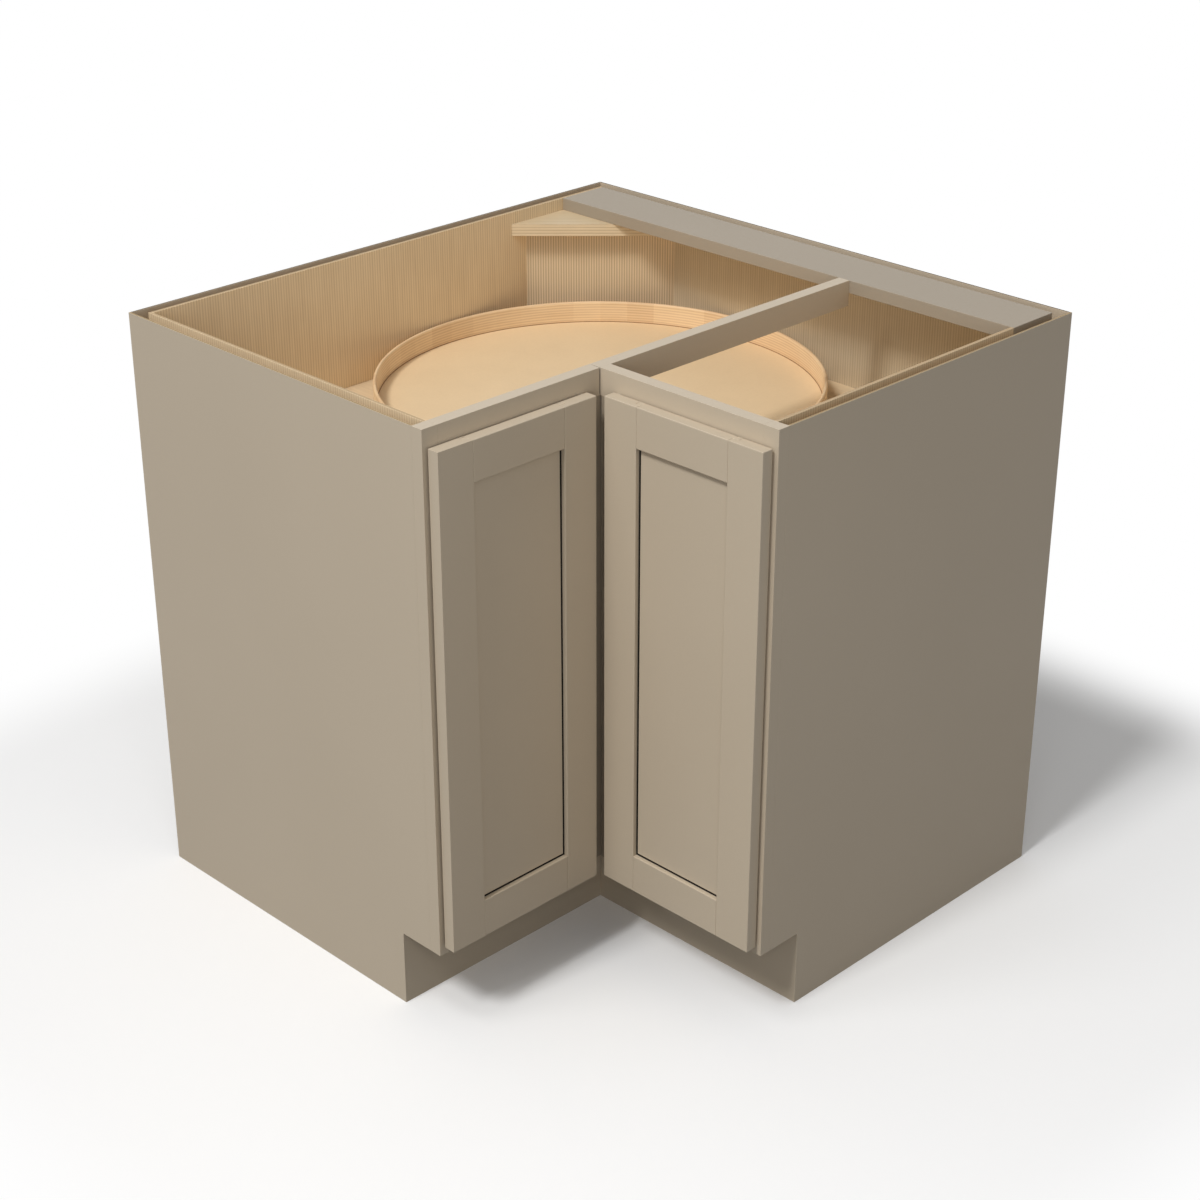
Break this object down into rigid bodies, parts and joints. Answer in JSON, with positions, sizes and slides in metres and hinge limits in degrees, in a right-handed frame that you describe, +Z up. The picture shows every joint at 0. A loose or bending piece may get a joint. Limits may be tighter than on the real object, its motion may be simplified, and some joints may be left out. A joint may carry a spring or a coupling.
{
  "type": "corner carousel cabinet",
  "caption": "L-shaped corner base cabinet with a panelled door on each side of its notch, an open top, and round trays that turn on ball-race swivels inside.",
  "frame": {"origin": "on the floor, under the middle of the square that the cabinet stands in", "axes": "+Z up; the two back walls face +X and +Y, and the notch with the doors opens towards -X -Y; the left door faces -Y and the right door faces -X"},
  "size_m": [0.9144, 0.9144, 0.8763],
  "materials": {
    "paint": "satin taupe paint on wood",
    "maple": "clear satin lacquer on maple",
    "softwood": "raw sawn wood",
    "steel": "bright zinc plate",
    "bumper": "soft translucent plastic"
  },
  "bodies": {
    "cabinet": {"left_end_skin": "paint", "right_end_skin": "paint", "left_back_skin": "paint", "right_back_skin": "paint", "left_end_packing": "softwood", "right_end_packing": "softwood", "left_back_packing": "softwood", "right_back_packing": "softwood", "left_side_panel": "maple", "right_side_panel": "maple", "left_back_panel": "maple", "right_back_panel": "maple", "diagonal_panel": "maple", "corner_block": "maple", "nailer": "paint", "stretcher": "paint", "cabinet_floor": "maple", "floor_cleats": "softwood", "fixed_shelf": "maple", "shelf_cleats": "softwood", "left_outer_stile": "paint", "right_outer_stile": "paint", "left_top_rail": "paint", "right_top_rail": "paint", "left_bottom_rail": "paint", "right_bottom_rail": "paint", "left_corner_stile": "paint", "right_corner_stile": "paint", "left_toe_board": "paint", "right_toe_board": "paint", "hinge_plates": "steel", "hinge_arms": "steel", "upper_fixed_ring": "steel", "upper_balls": "steel", "lower_fixed_ring": "steel", "lower_balls": "steel"},
    "left_door": {"left_door_outer_stile": "paint", "left_door_inner_stile": "paint", "left_door_top_rail": "paint", "left_door_bottom_rail": "paint", "left_door_panel": "paint", "left_door_bumpers": "bumper", "left_hinge_cups": "steel", "left_hinge_pins": "steel"},
    "right_door": {"right_door_outer_stile": "paint", "right_door_inner_stile": "paint", "right_door_top_rail": "paint", "right_door_bottom_rail": "paint", "right_door_panel": "paint", "right_door_bumpers": "bumper", "right_hinge_cups": "steel", "right_hinge_pins": "steel"},
    "upper_tray": {"upper_tray_floor": "maple", "upper_tray_hoop": "maple", "upper_moving_ring": "steel"},
    "lower_tray": {"lower_tray_floor": "maple", "lower_tray_hoop": "maple", "lower_moving_ring": "steel"}
  },
  "joints": [
    {"name": "left_door_hinge", "type": "hinge", "parent": "cabinet", "child": "left_door", "pos_m": [-0.44357, -0.165, 0.489], "axis": [0, 0, -1], "range_deg": [0, 105]},
    {"name": "right_door_hinge", "type": "hinge", "parent": "cabinet", "child": "right_door", "pos_m": [-0.165, -0.44357, 0.489], "axis": [0, 0, 1], "range_deg": [0, 105]},
    {"name": "upper_tray_swivel", "type": "hinge", "parent": "cabinet", "child": "upper_tray", "pos_m": [0.10136, 0.10136, 0.6825], "axis": [0, 0, 1], "continuous": true},
    {"name": "lower_tray_swivel", "type": "hinge", "parent": "cabinet", "child": "lower_tray", "pos_m": [0.10136, 0.10136, 0.135], "axis": [0, 0, 1], "continuous": true}
  ]
}
